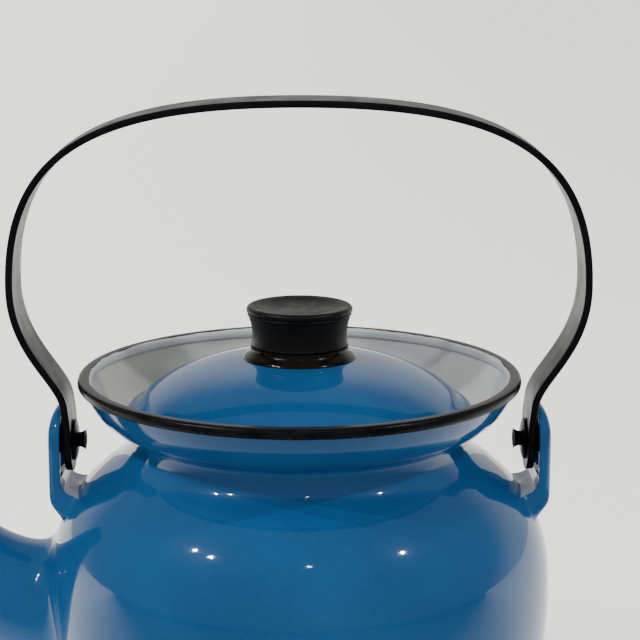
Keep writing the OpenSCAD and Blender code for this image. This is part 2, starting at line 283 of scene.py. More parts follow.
NECK = (0, -0.04, 0.108)
BULB, BULB_AWAY = 0.03, 1.25
area_light("front_fill", 0, 14, 1.9, 2.6, 1.2, 10.0).visible_glossy = False
for name, azimuth, elevation, watts in (("left_bulb_a", -70, 48, 2.5), ("left_bulb_b", -57, 48, 2.5),
                                        ("right_bulb", 66, 47, 2.8), ("top_bulb", 6, 52, 0.2)):
    area_light(name, azimuth, elevation, BULB_AWAY, BULB, BULB, watts)

# %% [markdown]
# ## Finishes
# Enamel is glass: the blue and the white have the refraction of glass and are nearly smooth. A faint rough
# coat on the blue gives each highlight a halo. The black on the rim is thin and fired duller, so it reflects
# less. The relief is a ripple of a few millimetres left by the melt, and a slower swell where the sheet isn't
# quite true. The blue is darker in the crease under the collar: painted shade, where the coat also pools
# deeper. The white inside is painted darker on its left side as painted shade, over a patchy tea stain, and
# dust leaves dark specks.

# %% Steps that the finishes share
def ripple(tree, size_mm, detail=2.0, rough=0.5, squash=(1, 1, 1)):
    """Noise whose lumps are about size_mm across; squash stretches them along an axis."""
    scaled = add(tree, "ShaderNodeVectorMath", {0: place_m(tree), 1: squash}, operation="MULTIPLY")
    return add(tree, "ShaderNodeTexNoise", {
        "Vector": scaled, "Scale": 1 / (size_mm * MM), "Detail": detail, "Roughness": rough,
    }).outputs["Fac"]


def specks(tree, cell_mm, size_mm, share):
    """Round dots of size_mm, in a share of the cells of a grid of cell_mm; 1 on a dot and 0 off it."""
    cells = add(tree, "ShaderNodeTexVoronoi", {"Vector": place_m(tree), "Scale": 1 / (cell_mm * MM)})
    dot = ramp(tree, cells.outputs["Distance"], size_mm / cell_mm * 0.5, size_mm / cell_mm * 0.35)
    pick = add(tree, "ShaderNodeSeparateColor", {"Color": cells.outputs["Color"]}).outputs["Red"]
    return both(tree, dot, both(tree, pick, share, "LESS_THAN"))


def relief(tree, layers):
    """Bumps on top of each other: each layer is a pattern and the height in millimetres that it has."""
    normal = None
    for pattern, height_mm in layers:
        inputs = {"Height": pattern, "Distance": height_mm * MM, "Strength": 1.0}
        if normal:
            inputs["Normal"] = normal
        normal = add(tree, "ShaderNodeBump", inputs).outputs["Normal"]
    return normal


def from_axis(tree):
    x, y, _ = axes(tree)
    flat = add(tree, "ShaderNodeCombineXYZ", {0: x, 1: y})
    return add(tree, "ShaderNodeVectorMath", {0: flat}, operation="LENGTH").outputs["Value"]


def past_wavy(tree, value, edge_mm, size_mm, wave_mm):
    """1 where a value is past a wavy edge, and 0 before it."""
    wavy = both(tree, value, both(tree, ripple(tree, size_mm, 3), wave_mm * MM), "ADD")
    middle = (edge_mm + wave_mm / 2) * MM
    return ramp(tree, wavy, middle - 0.08 * MM, middle + 0.08 * MM)


def under_rim(tree, edge_mm, size_mm, wave_mm):
    """1 on the collar just under the rim, above a wavy line, and 0 elsewhere."""
    return both(tree, past_wavy(tree, axes(tree)[2], edge_mm, size_mm, wave_mm),
                ramp(tree, from_axis(tree), 0.058, 0.059))


# %% Vitreous enamel, blue
def blue_enamel():
    tree, shader, material = new_material("vitreous_enamel_blue")
    broad = ripple(tree, 28, 2)
    colour = blend(tree, ramp(tree, broad, 0.3, 0.7), BLUE_DEEP, BLUE_BASE)
    fine = ripple(tree, 0.7, 3)
    colour = blend(tree, ramp(tree, fine, 0.45, 0.75, 0, 0.18), colour, BLUE_PALE)
    z = axes(tree)[2]
    # Painted shade: the blue is made darker in the crease under the collar, where the collar shades the neck;
    # the coat also pools deeper there
    crease = both(tree, ramp(tree, z, 0.1075, 0.1112), ramp(tree, z, 0.1150, 0.1122))
    colour = blend(tree, both(tree, crease, 0.35), colour, BLUE_POOL_AND_SHADE)
    colour = blend(tree, both(tree, specks(tree, 7, 0.35, 0.22), 0.7), colour, "#0b2740")
    # A little black has crept down from the rim
    colour = blend(tree, under_rim(tree, 128.2, 9, 0.9), colour, BLACK_GLASS)
    smudge = ramp(tree, ripple(tree, 16, 4, 0.6), 0.5, 0.72)
    wire(tree, shader, Base_Color=colour, Roughness=ramp(tree, smudge, 0, 1, 0.045, 0.11), IOR=1.52,
         Coat_Weight=0.12, Coat_Roughness=0.32, Coat_IOR=1.4,
         Normal=relief(tree, [(ripple(tree, 24, 1), 0.10), (ripple(tree, 3.2, 1.5), 0.010),
                              (specks(tree, 5, 0.3, 0.2), 0.02)]))
    return material


# %% Vitreous enamel, white and black
def white_enamel():
    tree, shader, material = new_material("vitreous_enamel_white")
    x, _, z = axes(tree)
    # Painted shade: the inside is made darker and greener towards its left side, mixed with a patchy tea
    # stain; the finer patches of the same tint below are tea stain alone
    left_shade_and_tea = both(tree, ramp(tree, x, 0.035, -0.06), ramp(tree, ripple(tree, 22, 3), 0.25, 0.75, 0.35, 1.0))
    colour = blend(tree, left_shade_and_tea, WHITE_BASE, WHITE_TEA_AND_SHADE)
    colour = blend(tree, ramp(tree, ripple(tree, 5, 4), 0.5, 0.8, 0, 0.25), colour, WHITE_TEA_AND_SHADE)
    colour = blend(tree, both(tree, specks(tree, 8, 0.4, 0.2), 0.6), colour, "#4a4438")
    low_stain = ramp(tree, z, 0.105, 0.06)
    patchy = ramp(tree, ripple(tree, 12, 4), 0.3, 0.7, 0.1, 0.6)
    colour = blend(tree, both(tree, low_stain, patchy), colour, "#9a7f58")
    colour = blend(tree, under_rim(tree, 128.5, 14, 0.8), colour, BLACK_GLASS)
    wire(tree, shader, Base_Color=colour, Roughness=0.07, IOR=1.52,
         Normal=relief(tree, [(ripple(tree, 18, 1), 0.09), (ripple(tree, 3, 1.5), 0.012),
                              (specks(tree, 8, 0.4, 0.2), 0.015)]))
    return material


def black_enamel():
    tree, shader, material = new_material("vitreous_enamel_black")
    colour = blend(tree, ramp(tree, ripple(tree, 6, 3), 0.3, 0.7), BLACK_GLASS, "#1c1d1f")
    z = axes(tree)[2]
    low_side = ramp(tree, z, 0.1299, 0.1290)
    worn = both(tree, low_side, ramp(tree, ripple(tree, 2.2, 5, 0.65), 0.60, 0.66))
    colour = blend(tree, both(tree, worn, 0.8), colour, "#4b3a2c")
    # The white of the inside runs part of the way up the roll
    colour = blend(tree, past_wavy(tree, from_axis(tree), 64.45, 11, 1.5), WHITE_BASE, colour)
    wire(tree, shader, Base_Color=colour, Roughness=ramp(tree, worn, 0, 1, 0.26, 0.45), IOR=1.22,
         Normal=relief(tree, [(ripple(tree, 12, 1), 0.06), (ripple(tree, 2.2, 2), 0.012), (worn, -0.01)]))
    return material


# %% [markdown]
# The bail is steel under black lacquer: softer and duller than enamel, with fine streaks along its length and
# a few small worn spots on its edges. The knob is moulded phenolic, a hard brown-black
# resin with a dull sheen; its skirt was polished more.

# %% Lacquer, phenolic and steel
def lacquer():
    tree, shader, material = new_material("black_lacquer_on_steel")
    across = calc(tree, "ABSOLUTE", axes(tree)[1])
    near_edge = ramp(tree, across, 0.0088, 0.0094)
    worn = both(tree, near_edge, ramp(tree, ripple(tree, 1.2, 5, 0.6), 0.62, 0.70))
    colour = blend(tree, ramp(tree, ripple(tree, 10, 3), 0.3, 0.7), "#0e0e10", "#17171a")
    colour = blend(tree, both(tree, worn, 0.4), colour, "#3d342d")
    streaks = ripple(tree, 0.8, 3, 0.5, squash=(0.06, 1.0, 0.06))
    dull = ramp(tree, ripple(tree, 9, 4), 0.3, 0.8, 0.26, 0.38)
    rough = both(tree, ramp(tree, streaks, 0.3, 0.75, 0.0, 0.09), dull, "ADD")
    wire(tree, shader, Base_Color=colour, Roughness=both(tree, rough, both(tree, worn, 0.1), "ADD"), IOR=1.22,
         Normal=relief(tree, [(ripple(tree, 9, 1), 0.03), (ripple(tree, 1.6, 2), 0.006), (streaks, 0.002),
                              (worn, -0.015)]))
    return material


def phenolic(name, low, high, gloss, dull):
    tree, shader, material = new_material(name)
    colour = blend(tree, ramp(tree, ripple(tree, 6, 4), 0.3, 0.7), low, high)
    colour = blend(tree, both(tree, specks(tree, 3, 0.2, 0.3), 0.35), colour, "#3a332c")
    rough = ramp(tree, ripple(tree, 4, 5, 0.6), 0.3, 0.7, gloss, dull)
    scuffs = ripple(tree, 0.5, 3, 0.5, squash=(1, 0.25, 1))
    wire(tree, shader, Base_Color=colour, Roughness=rough, IOR=1.33,
         Normal=relief(tree, [(ripple(tree, 5, 2), 0.012), (ripple(tree, 0.35, 2), 0.0025), (scuffs, 0.002)]))
    return material


def steel():
    tree, shader, material = new_material("plated_steel")
    tarnish = ramp(tree, ripple(tree, 3, 5, 0.6), 0.4, 0.7)
    wire(tree, shader, Metallic=1.0, Base_Color=blend(tree, tarnish, "#b4b4b2", "#8a8478"),
         Roughness=ramp(tree, tarnish, 0, 1, 0.24, 0.45),
         Normal=relief(tree, [(ripple(tree, 0.6, 2), 0.004)]))
    return material


BLUE_BASE, BLUE_DEEP, BLUE_PALE, BLUE_POOL_AND_SHADE = "#1a66a4", "#145c99", "#3a82ba", "#0d4a80"
WHITE_BASE, WHITE_TEA_AND_SHADE = "#f0f4f2", "#dadccc"
BLACK_GLASS = "#0c0c0e"
BLUE, WHITE, BLACK = blue_enamel(), white_enamel(), black_enamel()
LACQUER = lacquer()
PHENOLIC = phenolic("phenolic_moulding", "#0d0c0b", "#131210", 0.36, 0.50)
POLISHED = phenolic("phenolic_polished", "#100c09", "#17110d", 0.10, 0.2)
STEEL = steel()
print("materials:", [m.name for m in (BLUE, WHITE, BLACK, LACQUER, PHENOLIC, POLISHED, STEEL)])

# %% [markdown]
# ## Turned shapes
# Most of the pot is turned: a wall's outline, swept once round an axis. One Geometry Nodes tree does them
# all. It takes the outline as a line of points, sweeps it round a very small circle, and welds the seam.
# A point's "coat" says which of two enamels lies on it. Edges sharper than 35 degrees stay crisp.

# %% Parts of a Geometry Nodes tree
HUB = 1.0


def new_tree(name, sockets):
    """A Geometry Nodes tree with a Geometry in and out, and the named inputs."""
    tree = bpy.data.node_groups.new(name, "GeometryNodeTree")
    tree.interface.new_socket("Geometry", in_out="OUTPUT", socket_type="NodeSocketGeometry")
    tree.interface.new_socket("Geometry", in_out="INPUT", socket_type="NodeSocketGeometry")
    for label, kind in sockets.items():
        tree.interface.new_socket(label, in_out="INPUT", socket_type="NodeSocket" + kind)
    return tree, add(tree, "NodeGroupInput").outputs


def attribute(tree, name):
    return add(tree, "GeometryNodeInputNamedAttribute", {"Name": name}, data_type="FLOAT").outputs[0]


def above(tree, a, b):
    """True where a is above b."""
    return add(tree, "FunctionNodeCompare", {"A": a, "B": b}, operation="GREATER_THAN").outputs["Result"]


def sealed(tree, geometry, coat, inner_coat=None, distance=2e-6):
    """Welds, smooths and coats the geometry, and ends the tree."""
    welded = add(tree, "GeometryNodeMergeByDistance", {"Geometry": geometry, "Distance": distance})
    smooth = add(tree, "GeometryNodeSetShadeSmooth", {"Geometry": welded})
    angle = add(tree, "GeometryNodeInputMeshEdgeAngle").outputs["Unsigned Angle"]
    crisp = add(tree, "GeometryNodeSetShadeSmooth", {
        "Geometry": smooth, "Selection": above(tree, angle, math.radians(35)),
        "Shade Smooth": False,
    }, domain="EDGE")
    real = add(tree, "GeometryNodeRealizeInstances", {"Geometry": crisp})
    done = add(tree, "GeometryNodeSetMaterial", {"Geometry": real, "Material": coat})
    if inner_coat:
        done = add(tree, "GeometryNodeSetMaterial", {
            "Geometry": done, "Selection": above(tree, attribute(tree, "coat"), 0.5),
            "Material": inner_coat,
        })
    add(tree, "NodeGroupOutput", {"Geometry": done})
    return tree


def turning_tree():
    tree, given = new_tree("turn_outline", {
        "Segments": "Int", "Hub": "Float", "Coat": "Material", "Inner Coat": "Material"})
    outline = add(tree, "GeometryNodeMeshToCurve", {"Mesh": given["Geometry"]})
    circle = add(tree, "GeometryNodeCurvePrimitiveCircle",
                 {"Resolution": given["Segments"], "Radius": given["Hub"]})
    swept = add(tree, "GeometryNodeCurveToMesh",
                {"Curve": circle, "Profile Curve": outline})
    return sealed(tree, swept, given["Coat"], given["Inner Coat"])


TURN = turning_tree()


def line_object(name, points, edges=(), faces=(), marks=None):
    """A bare mesh object, its points in metres, with float values on its points."""
    mesh = bpy.data.meshes.new(name)
    mesh.from_pydata([tuple(p) for p in points], edges, faces)
    for label, values in (marks or {}).items():
        mesh.attributes.new(label, "FLOAT", "POINT").data.foreach_set("value", values)
    source = bpy.data.objects.new(name, mesh)
    scene.collection.objects.link(source)
    return source


def volume_of(mesh):
    """The volume inside a closed mesh; it is negative where its faces point inwards."""
    mesh.calc_loop_triangles()
    corners = ([mesh.vertices[i].co for i in t.vertices] for t in mesh.loop_triangles)
    return sum(a.dot(b.cross(c)) for a, b, c in corners) / 6


def grown(source, tree, name, values):
    """Runs a Geometry Nodes tree on an object and returns the result as a plain mesh, faces outwards."""
    modifier = source.modifiers.new("nodes", "NODES")
    modifier.node_group = tree
    for item in tree.interface.items_tree:
        if item.in_out == "INPUT" and item.name in values:
            modifier[item.identifier] = values[item.name]
    graph = bpy.context.evaluated_depsgraph_get()
    mesh = bpy.data.meshes.new_from_object(source.evaluated_get(graph))
    mesh.name = name
    bpy.data.objects.remove(source)
    if volume_of(mesh) < 0:
        mesh.flip_normals()
    piece = bpy.data.objects.new(name, mesh)
    scene.collection.objects.link(piece)
    return piece


def turned(name, outline, coat, inner_coat=None, inner=(), segments=192):
    """A piece turned about Z from a closed outline of (radius, height) points in millimetres. Where the
    outline touches the axis it is left open. The points in inner get the inner coat."""
    on_axis = [i for i, p in enumerate(outline) if p[0] < 1e-6]
    if len(on_axis) == 2 and on_axis[1] == on_axis[0] + 1:
        outline = outline[on_axis[1]:] + outline[:on_axis[1]]
    count = len(outline)
    edges = [(i, i + 1) for i in range(count - 1)] + ([] if on_axis else [(count - 1, 0)])
    points = [((p[0] - HUB) * MM, -p[1] * MM, 0) for p in outline]
    marks = {"coat": [float(p in inner) for p in outline]}
    source = line_object(name + "_outline", points, edges, marks=marks)
    piece = grown(source, TURN, name, {
        "Segments": segments, "Hub": HUB * MM, "Coat": coat, "Inner Coat": inner_coat or coat})
    print(f"{name}: {count} points turned, {len(piece.data.polygons)} faces, "
          f"{volume_of(piece.data) * 1e9:.0f} mm3")
    return piece


def place(piece, body, slot, *nodes):
    """Rides a piece on its body and lets it stand for CAD nodes; the slot is not used."""
    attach(piece, body)
    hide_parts(*nodes)


# %% Outlines: curves, arcs and sheets
def curve(a, b, c, d, n=24, first=0):
    """Points of the cubic curve from a to d with handles b and c."""
    points = []
    for i in range(first, n + 1):
        t = i / n
        s = 1 - t
        points.append(tuple(
            s ** 3 * a[k] + 3 * s * s * t * b[k] + 3 * s * t * t * c[k] + t ** 3 * d[k] for k in (0, 1)
        ))
    return points


def arc(centre, r, start, end, n=8):
    """Points of an arc, its angles in degrees."""
    angles = [math.radians(start + (end - start) * i / n) for i in range(n + 1)]
    return [(centre[0] + r * math.cos(a), centre[1] + r * math.sin(a)) for a in angles]


def beside(points, d):
    """The same line of points, moved by d to the left of its own direction."""
    moved = []
    last = len(points) - 1
    for i, p in enumerate(points):
        before, after = points[max(i - 1, 0)], points[min(i + 1, last)]
        step = Vector((after[0] - before[0], after[1] - before[1])).normalized()
        moved.append((max(p[0] - d * step.y, 0.0), p[1] + d * step.x))
    return moved


def shift(p, dx, dy):
    return (p[0] + dx, p[1] + dy)


# %% [markdown]
# ## The pot's wall
# Base, belly and collar were pressed and welded before enamelling, so on the real pot no joint shows. Here
# one turned wall stands for all four solids. It is blue outside and white inside.

# %% Pot wall
bead_bottom = RIM_H - RIM_T / 2
collar_top = (RIM_R - RIM_W / 2 + 0.45, bead_bottom)
waist = (WAIST_R, PIVOT_H + 1.9)
neck_join = shift(waist, 4.6, -7)
cone_foot = shift(waist, 1.1, 3.55)
cone_top = shift(cone_foot, 4, 2.15)
base_edge = (65.2, 8)
pot_outer = (
    [(0, 0)]
    + curve((FOOT_R, 0), (FOOT_R + 5, 0), shift(base_edge, -3.2, -4.8), base_edge, 12)
    + curve(base_edge, (71.6, 17.6), (BELLY_R, BELLY_H - 24), (BELLY_R, BELLY_H), 30, 1)
    + curve((BELLY_R, BELLY_H), (BELLY_R, BELLY_H + 22.9), shift(neck_join, 10.6, -8.15), neck_join, 40, 1)
    + curve(neck_join, shift(neck_join, -2.06, 1.58), shift(waist, 0, -3), waist, 14, 1)
    + curve(waist, shift(waist, 0, 2.2), shift(cone_foot, -0.75, -0.4), cone_foot, 12, 1)
    + curve(cone_foot, shift(cone_foot, 1.3, 0.7), shift(cone_top, -1.3, -0.7), cone_top, 4, 1)
    + curve(cone_top, shift(cone_top, 4.6, 2.5), shift(collar_top, -2.2, -4.6), collar_top, 20, 1)
)
pot_inner = beside(pot_outer, WALL)
pot_wall = turned("pot_wall", pot_outer + pot_inner[::-1], BLUE, WHITE, set(pot_inner))


def cut(piece, *cutters):
    """Takes the cutters' shapes out of a piece, and removes them."""
    for cutter in cutters:
        modifier = piece.modifiers.new("cut", "BOOLEAN")
        modifier.operation = "DIFFERENCE"
        modifier.object = cutter
        graph = bpy.context.evaluated_depsgraph_get()
        fresh = bpy.data.meshes.new_from_object(piece.evaluated_get(graph))
        piece.modifiers.clear()
        fresh.name = piece.data.name
        piece.data = fresh
        bpy.data.objects.remove(cutter)


def turn_to_x(piece, side, height):
    """Lays a piece that was turned about Z along X instead: side is 1 for +X and -1 for -X."""
    piece.data.transform(mathutils.Matrix.Translation((0, 0, height * MM))
                         @ mathutils.Matrix.Rotation(side * math.pi / 2, 4, "Y"))


PORT_R = 14.0
PORT_H = 56.0
port = turned("port_cutter", [(0, 60), (PORT_R, 60), (PORT_R, 90), (0, 90)], WHITE, segments=64)
turn_to_x(port, -1, PORT_H)
cut(pot_wall, port)
place(pot_wall, "pot", "enamel_blue", "base_pan", "lower_shell", "shoulder_shell", "collar")

# %% [markdown]
# ## The rim
# The collar's edge is rolled into a bead and dipped in black. It hides the sheet's raw edge.

# %% Rim
low, high, r = RIM_H - RIM_T / 2, RIM_H + RIM_T / 2, 1.4
rim_in = RIM_R - RIM_W
rim_line = (arc((RIM_R - r, low + r), r, -90, 0) + arc((RIM_R - r, high - r), r, 0, 90)
            + arc((rim_in + r, high - r), r, 90, 180) + arc((rim_in + r, low + r), r, 180, 270))
place(turned("rim_roll", rim_line, BLACK), "pot", "enamel_black", "rim_bead")

# %% [markdown]
# ## The lid
# A dished cover with a short upright hem. It rests on the infuser's flange, well below the pot's rim.

# %% Lid and its ring
cone_slope = 2.15 / 4
along_cone = math.sqrt(1 + cone_slope ** 2)


def above_cone(radius, d):
    """Height of a line that lies d above the collar's cone, at a radius."""
    return cone_foot[1] + (radius - cone_foot[0]) * cone_slope + d * along_cone


def trimmed(points, radius):
    """The points outside a radius, with one more where the line crosses it."""
    kept = [p for p in points if p[0] > radius]
    inside = [p for p in points if p[0] <= radius]
    return kept + [(radius, inside[0][1])]


RIM_LOW_D = WALL + 0.15
RIM_HIGH_D = RIM_LOW_D + 1
SCREW_HOLE_R = 2.1
hem = (LID_R, above_cone(LID_R - 0.6, RIM_HIGH_D) + 0.15)
lid_turn = (LID_R - 1.7, LID_EDGE_H + 0.4)
dome_foot = (LID_R - 7.4, LID_EDGE_H + 5.45)
lid_outer = trimmed(
    [hem]
    + curve((LID_R, LID_EDGE_H - 1.5), (LID_R, LID_EDGE_H - 0.5), (LID_R - 0.7, LID_EDGE_H + 0.2),
            lid_turn, 8)
    + curve(lid_turn, (LID_R - 4, LID_EDGE_H + 0.9), shift(dome_foot, 1.9, -1.3), dome_foot, 16, 1)
    + curve(dome_foot, shift(dome_foot, -11.1, 8.1), (18, LID_TOP_H), (0, LID_TOP_H), 48, 1),
    SCREW_HOLE_R)
lid_inner = [(max(p[0], SCREW_HOLE_R), p[1]) for p in beside(lid_outer, LID_T)]
lid = turned("lid_cover", lid_outer + lid_inner[::-1], BLUE, WHITE, set(lid_inner))
place(lid, "lid", "enamel_blue", "lid_shell")

ring_low = corner("lid_ring", 0, 2)
ring_high = corner("lid_ring", 1, 2)
ring_line = [(41.1, ring_high - 0.35), (41.1, ring_low + 0.3), (41.3, ring_low), (41.8, ring_low),
             (42, ring_low + 0.3), (42, ring_high)]
place(turned("lid_locating_ring", ring_line, WHITE), "lid", "enamel_white", "lid_ring")

# %% [markdown]
# ## The knob
# Moulded phenolic with a dished top, on a flared skirt that keeps it off the hot lid. A threaded insert,
# a screw and a washer hold it from below.

# %% Knob, skirt and fastening
KNOB_R = 16.3
KNOB_TOP = 152.8
KNOB_FOOT = 140.0
INSERT_R, INSERT_TOP, INSERT_LOW = 3.4, 148.0, 137.6
WASHER_H = 134.9
foot_r = KNOB_R - 1.4
lip = 1.2
dish = KNOB_TOP - 2.2
knob_line = (
    [(INSERT_R, KNOB_FOOT), (foot_r - 0.7, KNOB_FOOT), (foot_r - 0.25, KNOB_FOOT + 0.12)]
    + curve((foot_r, KNOB_FOOT + 0.5), (foot_r - 0.9, KNOB_FOOT + 3), (KNOB_R - 1.5, KNOB_TOP - 6),
            (KNOB_R - 0.6, KNOB_TOP - 3.4), 20)
    # A fine bead was left by the mould under the lip
    + arc((KNOB_R - 0.65, KNOB_TOP - 2.95), 0.32, -60, 60, 5)
    + arc((KNOB_R - lip, KNOB_TOP - lip - 0.4), lip, -40, 110, 12)
    + curve((KNOB_R - 3, KNOB_TOP - 0.7), (KNOB_R - 7, dish), (4, dish), (0, dish), 24)
    + [(0, INSERT_TOP), (INSERT_R, INSERT_TOP)]
)
place(turned("knob_moulding", knob_line, PHENOLIC, segments=128), "lid", "phenolic", "knob")


def on_lid(radius):
    """Height of the lid's upper face at a radius."""
    for a, b in zip(lid_outer, lid_outer[1:]):
        if b[0] <= radius <= a[0]:
            return a[1] + (b[1] - a[1]) * (a[0] - radius) / (a[0] - b[0])
    return LID_TOP_H


SKIRT_R = 17.4
skirt_line = (
    [(INSERT_R + 0.1, KNOB_FOOT), (KNOB_R - 1.3, KNOB_FOOT)]
    + curve((KNOB_R - 1.3, KNOB_FOOT - 0.6), (KNOB_R - 1.2, KNOB_FOOT - 2), (SKIRT_R - 0.4, 137.6),
            (SKIRT_R, 136.4), 14)
    + [(SKIRT_R - 0.03, on_lid(SKIRT_R) + 0.25)]
    + [(rr, on_lid(rr)) for rr in (SKIRT_R - 0.3, 15, 12, 9, 6, INSERT_R + 0.1)]
)
place(turned("knob_skirt_flare", skirt_line, POLISHED, segments=128), "lid", "phenolic", "knob_skirt")
insert_line = [(0, INSERT_TOP), (INSERT_R, INSERT_TOP), (INSERT_R, INSERT_LOW), (2.05, INSERT_LOW),
               (2.05, INSERT_TOP - 1), (0, INSERT_TOP - 1)]
place(turned("threaded_insert", insert_line, STEEL, segments=48), "lid", "steel", "knob_insert")
screw_line = ([(0, 132.6)] + curve((2.6, 132.6), (3.4, 132.7), (3.8, 133.2), (3.8, WASHER_H - 1), 6)
              + [(3.8, WASHER_H), (2, WASHER_H), (2, 144.6), (1.6, 145), (0, 145)])
place(turned("screw", screw_line, STEEL, segments=48), "lid", "steel", "knob_screw")
washer_line = [(2.1, WASHER_H), (5.8, WASHER_H), (6, WASHER_H + 0.2), (6, WASHER_H + 0.8),
               (5.8, WASHER_H + 1), (2.1, WASHER_H + 1)]
place(turned("flat_washer", washer_line, STEEL, segments=48), "lid", "steel", "knob_washer")

# %% [markdown]
# ## The bail
# A strip of steel bent over a former: up both sides in a gentle S, then over the pot. Its line of points and
# its rounded section go into one source mesh, marked apart. The tree sweeps one along the other, then draws
# the two ends in to half circles about the pivots and takes the pivot holes out.

# %% Bail strap
strap_out = STRAP_X + STRAP_T
leg_top = (strap_out + 0.75, RIM_H - 8)
WIDE_H = 159.0
half_w = STRAP_W / 2
end_steps = [(strap_out, PIVOT_H - half_w * math.cos(math.pi / 2 * i / 14)) for i in range(15)]
bail_outer = (
    end_steps
    + [(strap_out, PIVOT_H + 1.5), (strap_out, PIVOT_H + 3)]
    + curve((strap_out + 0.1, PIVOT_H + 6), (strap_out + 0.3, PIVOT_H + 9), shift(leg_top, -0.2, -2),
            leg_top, 6)
    + curve(leg_top, shift(leg_top, 0.7, 8), (BAIL_SPAN, WIDE_H - 20), (BAIL_SPAN, WIDE_H), 32, 1)
    + curve((BAIL_SPAN, WIDE_H), (BAIL_SPAN, BAIL_H - 12), (BAIL_SPAN * 0.655, BAIL_H), (0, BAIL_H), 56, 1)
)
half_path = beside(bail_outer, STRAP_T / 2)
path = half_path + [(-p[0], p[1]) for p in half_path[-2::-1]]
edge_r = 0.55
section = []
for sx, sy, start in ((1, -1, -90), (1, 1, 0), (-1, 1, 90), (-1, -1, 180)):
    section += arc((sx * (STRAP_T / 2 - edge_r), sy * (half_w - edge_r)), edge_r, start, start + 90, 5)
support = 0.5
flats = []
for i, p in enumerate(section):
    following = section[(i + 1) % len(section)]
    flats.append(p)
    gap = Vector(following) - Vector(p)
    if gap.length > 4 * support:
        step = gap.normalized() * support
        flats += [tuple(Vector(p) + step), tuple(Vector(following) - step)]
section = flats


def strap_tree():
    tree, given = new_tree("strap_along_path", {
        "Pivot Height": "Float", "Half Width": "Float", "Hole Radius": "Float", "Coat": "Material"})
    parts = add(tree, "GeometryNodeSeparateGeometry", {
        "Geometry": given["Geometry"], "Selection": above(tree, attribute(tree, "section"), 0.5)})
    section_line = add(tree, "GeometryNodeMeshToCurve", {"Mesh": parts.outputs["Selection"]})
    path_line = add(tree, "GeometryNodeMeshToCurve", {"Mesh": parts.outputs["Inverted"]})
    swept = add(tree, "GeometryNodeCurveToMesh", {
        "Curve": path_line, "Profile Curve": section_line, "Fill Caps": True})
    upright = add(tree, "GeometryNodeTransform", {
        "Geometry": swept, "Rotation": (math.pi / 2, 0, 0)})
    at = add(tree, "ShaderNodeSeparateXYZ", {0: add(tree, "GeometryNodeInputPosition")}).outputs
    below = calc(tree, "SUBTRACT", given["Pivot Height"], at[2])
    drop = calc(tree, "MAXIMUM", calc(tree, "DIVIDE", below, given["Half Width"]), 0.0)
    left = calc(tree, "SUBTRACT", 1.0, calc(tree, "MULTIPLY", drop, drop))
    narrow = calc(tree, "SQRT", calc(tree, "MAXIMUM", left, 0.0))
    moved = add(tree, "ShaderNodeCombineXYZ", {0: at[0], 1: calc(tree, "MULTIPLY", at[1], narrow), 2: at[2]})
    rounded = add(tree, "GeometryNodeSetPosition", {"Geometry": upright, "Position": moved})
    welded = add(tree, "GeometryNodeMergeByDistance", {"Geometry": rounded, "Distance": 2e-6})
    rod = add(tree, "GeometryNodeMeshCylinder", {
        "Vertices": 48, "Radius": given["Hole Radius"], "Depth": 0.3}, fill_type="NGON")
    height = add(tree, "ShaderNodeCombineXYZ", {2: given["Pivot Height"]})
    cutter = add(tree, "GeometryNodeTransform", {
        "Geometry": rod, "Translation": height, "Rotation": (0, math.pi / 2, 0)})
    pierced = add(tree, "GeometryNodeMeshBoolean", {
        "Mesh 1": welded, "Mesh 2": cutter}, operation="DIFFERENCE")
    return sealed(tree, pierced, given["Coat"])


points = [(p[0] * MM, p[1] * MM, 0) for p in path] + [(p[0] * MM, p[1] * MM, 0) for p in section]
n, m = len(path), len(section)
edges = [(i, i + 1) for i in range(n - 1)] + [(n + i, n + (i + 1) % m) for i in range(m)]
source = line_object("strap_lines", points, edges, marks={"section": [0.0] * n + [1.0] * m})
strap = grown(source, strap_tree(), "bail_strip", {
    "Pivot Height": PIVOT_H * MM, "Half Width": half_w * MM, "Hole Radius": 2.36 * MM, "Coat": LACQUER})
print("bail_strip:", len(strap.data.polygons), "faces,", round(volume_of(strap.data) * 1e9), "mm3")
place(strap, "bail", "lacquer_black", "bail_strap")

# %% [markdown]
# ## Pivots
# Each side has a stud riveted in the lug. A shoulder keeps the strap off the lug, and a domed washer and the
# stud's flared, hollow end hold the strap on.

# %% Studs and washers
STUD_R = 2.3
STUD_TIP = 66.3
shoulder_in = strap_out + 0.15
stud_base = 75.5
stud_line = (
    [(0, stud_base), (4.2, stud_base), (4.2, shoulder_in + 0.2), (4.0, shoulder_in), (STUD_R, shoulder_in)]
    + curve((STUD_R, STUD_TIP + 2), (STUD_R, STUD_TIP + 1.2), (2.7, STUD_TIP + 0.5),
            (3.1, STUD_TIP + 0.15), 10)
    + [(3.2, STUD_TIP + 0.02), (3.05, STUD_TIP)]
    + curve((2.7, STUD_TIP), (2, STUD_TIP + 0.8), (1.5, STUD_TIP + 1.4), (1.5, STUD_TIP + 2.4), 8)
    + [(0, STUD_TIP + 2.4)]
)
seat = STRAP_X - 0.15
washer_line = (
    [(2.31, seat), (6.3, seat), (6.5, seat - 0.15), (6.5, seat - 0.4), (6.35, seat - 0.52)]
    + curve((6.2, seat - 0.6), (5, seat - 1), (4.2, seat - 1.2), (3.4, seat - 1.28), 10)
    + [(3.2, seat - 1.3), (2.31, seat - 1.3)]
)
for side, where in ((-1, "spout_side"), (1, "back_side")):
    for kind, line in (("stud", stud_line), ("washer", washer_line)):
        piece = turned(f"{kind}_{where}_turned", line, LACQUER, segments=64)
        turn_to_x(piece, side, PIVOT_H)
        place(piece, "pot", "lacquer_black", f"{kind}_{where}")

# %% [markdown]
# ## Joining to the belly
# The spout and the lugs were welded on before enamelling, and the glass ran into the corners. Each is drawn
# as lines that run down into the belly. Where a line meets it, the last few millimetres bend out to lie on
# the surface, so that light runs smoothly over the joint.

